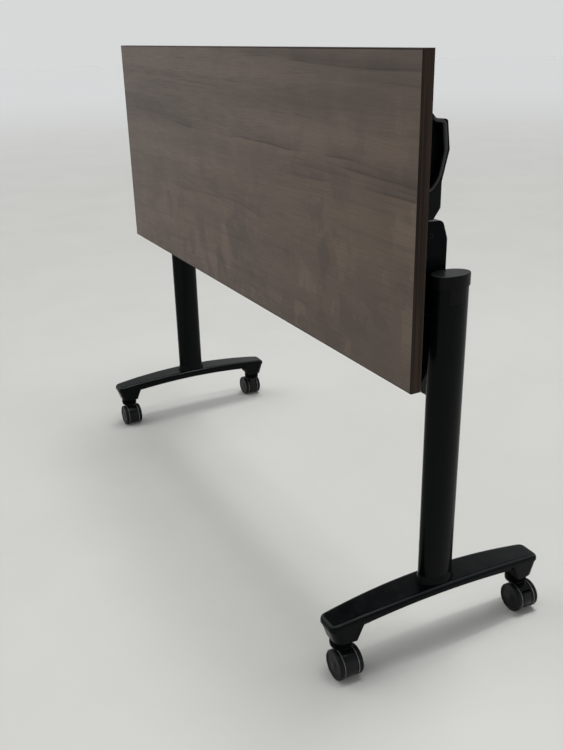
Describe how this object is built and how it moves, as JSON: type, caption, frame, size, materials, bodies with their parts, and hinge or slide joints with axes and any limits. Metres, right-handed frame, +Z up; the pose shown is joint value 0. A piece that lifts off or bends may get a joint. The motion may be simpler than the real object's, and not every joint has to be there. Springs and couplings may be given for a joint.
{
  "type": "flip-top nesting table",
  "caption": "Flip-top nesting table on swivel casters, its woodgrain worktop folded upright above oval posts, arched feet and a wire under-top shelf.",
  "frame": {"origin": "on the floor, midway between the posts", "axes": "+X along the table, -Y the way the folded working face looks, +Z up"},
  "size_m": [1.2, 0.418, 0.937],
  "materials": {
    "walnut_face": "satin woodgrain melamine, grain along the table",
    "walnut_edge": "dark brown edge banding",
    "board_core": "raw chipboard",
    "underside": "plain dark backing sheet",
    "black_powder": "black satin powder coat",
    "black_plastic": "black satin moulding",
    "cover_plastic": "fine-textured bluish black moulding",
    "caster_plastic": "black nylon",
    "wheel_black": "black nylon with a smooth tread",
    "zinc_steel": "zinc plated",
    "nylon": "white nylon",
    "bumper_rubber": "black rubber"
  },
  "bodies": {
    "frame": {"foot_left": "black_powder", "foot_right": "black_powder", "post_left": "black_powder", "post_right": "black_powder", "post_cap_left": "black_plastic", "post_cap_right": "black_plastic", "hinge_arm_left": "black_powder", "hinge_arm_right": "black_powder", "crossbeam": "black_powder", "beam_flange_left": "black_powder", "beam_flange_right": "black_powder", "arm_bolts": "zinc_steel", "pivot_bushes": "nylon", "stop_bumpers": "bumper_rubber", "caster_sockets": "black_plastic"},
    "top": {"board_core": "board_core", "surface_laminate": "walnut_face", "underside_backer": "underside", "edge_band": "walnut_edge", "tilt_bracket_left": "black_powder", "tilt_bracket_right": "black_powder", "hinge_cover_left": "cover_plastic", "hinge_cover_right": "cover_plastic", "pivot_pins": "zinc_steel", "stop_pins": "zinc_steel", "bracket_screws": "zinc_steel", "shelf_bracket_left": "cover_plastic", "shelf_bracket_right": "cover_plastic", "wire_shelf": "black_powder", "shelf_screws": "zinc_steel"},
    "release": {"release_shaft": "zinc_steel", "release_lever_left": "black_plastic", "release_lever_right": "black_plastic"},
    "caster_right_front": {"caster_hood_right_front": "caster_plastic", "caster_stem_right_front": "zinc_steel", "caster_axle_right_front": "zinc_steel"},
    "wheel_right_front_front": {"wheel_right_front_front": "wheel_black"},
    "wheel_right_front_rear": {"wheel_right_front_rear": "wheel_black"},
    "caster_right_rear": {"caster_hood_right_rear": "caster_plastic", "caster_stem_right_rear": "zinc_steel", "caster_axle_right_rear": "zinc_steel"},
    "wheel_right_rear_front": {"wheel_right_rear_front": "wheel_black"},
    "wheel_right_rear_rear": {"wheel_right_rear_rear": "wheel_black"},
    "brake_pedal_right_rear": {"brake_pedal_right_rear": "caster_plastic"},
    "caster_left_front": {"caster_hood_left_front": "caster_plastic", "caster_stem_left_front": "zinc_steel", "caster_axle_left_front": "zinc_steel"},
    "wheel_left_front_front": {"wheel_left_front_front": "wheel_black"},
    "wheel_left_front_rear": {"wheel_left_front_rear": "wheel_black"},
    "caster_left_rear": {"caster_hood_left_rear": "caster_plastic", "caster_stem_left_rear": "zinc_steel", "caster_axle_left_rear": "zinc_steel"},
    "wheel_left_rear_front": {"wheel_left_rear_front": "wheel_black"},
    "wheel_left_rear_rear": {"wheel_left_rear_rear": "wheel_black"},
    "brake_pedal_left_rear": {"brake_pedal_left_rear": "caster_plastic"}
  },
  "joints": [
    {"name": "top_tilt", "type": "hinge", "parent": "frame", "child": "top", "pos_m": [0, -0.047, 0.665], "axis": [-1, 0, 0], "range_deg": [0, 90]},
    {"name": "release_pull", "type": "hinge", "parent": "top", "child": "release", "pos_m": [0, -0.006, 0.685], "axis": [-1, 0, 0], "range_deg": [-6, 8], "stiffness_Nm_per_rad": 4, "springref_deg": -6},
    {"name": "swivel_right_front", "type": "hinge", "parent": "frame", "child": "caster_right_front", "pos_m": [0.546, -0.18, 0.07], "axis": [0, 0, 1], "continuous": true},
    {"name": "roll_right_front_front", "type": "hinge", "parent": "caster_right_front", "child": "wheel_right_front_front", "pos_m": [0.559, -0.1964, 0.025], "axis": [0, 1, 0], "continuous": true},
    {"name": "roll_right_front_rear", "type": "hinge", "parent": "caster_right_front", "child": "wheel_right_front_rear", "pos_m": [0.559, -0.1636, 0.025], "axis": [0, 1, 0], "continuous": true},
    {"name": "swivel_right_rear", "type": "hinge", "parent": "frame", "child": "caster_right_rear", "pos_m": [0.546, 0.18, 0.07], "axis": [0, 0, 1], "continuous": true},
    {"name": "roll_right_rear_front", "type": "hinge", "parent": "caster_right_rear", "child": "wheel_right_rear_front", "pos_m": [0.559, 0.1636, 0.025], "axis": [0, 1, 0], "continuous": true},
    {"name": "roll_right_rear_rear", "type": "hinge", "parent": "caster_right_rear", "child": "wheel_right_rear_rear", "pos_m": [0.559, 0.1964, 0.025], "axis": [0, 1, 0], "continuous": true},
    {"name": "brake_right_rear", "type": "hinge", "parent": "caster_right_rear", "child": "brake_pedal_right_rear", "pos_m": [0.571, 0.18, 0.034], "axis": [0, 1, 0], "range_deg": [0, 8]},
    {"name": "swivel_left_front", "type": "hinge", "parent": "frame", "child": "caster_left_front", "pos_m": [-0.546, -0.18, 0.07], "axis": [0, 0, 1], "continuous": true},
    {"name": "roll_left_front_front", "type": "hinge", "parent": "caster_left_front", "child": "wheel_left_front_front", "pos_m": [-0.533, -0.1964, 0.025], "axis": [0, 1, 0], "continuous": true},
    {"name": "roll_left_front_rear", "type": "hinge", "parent": "caster_left_front", "child": "wheel_left_front_rear", "pos_m": [-0.533, -0.1636, 0.025], "axis": [0, 1, 0], "continuous": true},
    {"name": "swivel_left_rear", "type": "hinge", "parent": "frame", "child": "caster_left_rear", "pos_m": [-0.546, 0.18, 0.07], "axis": [0, 0, 1], "continuous": true},
    {"name": "roll_left_rear_front", "type": "hinge", "parent": "caster_left_rear", "child": "wheel_left_rear_front", "pos_m": [-0.559, 0.1636, 0.025], "axis": [0, 1, 0], "continuous": true},
    {"name": "roll_left_rear_rear", "type": "hinge", "parent": "caster_left_rear", "child": "wheel_left_rear_rear", "pos_m": [-0.559, 0.1964, 0.025], "axis": [0, 1, 0], "continuous": true},
    {"name": "brake_left_rear", "type": "hinge", "parent": "caster_left_rear", "child": "brake_pedal_left_rear", "pos_m": [-0.571, 0.18, 0.034], "axis": [0, -1, 0], "range_deg": [0, 8]}
  ]
}
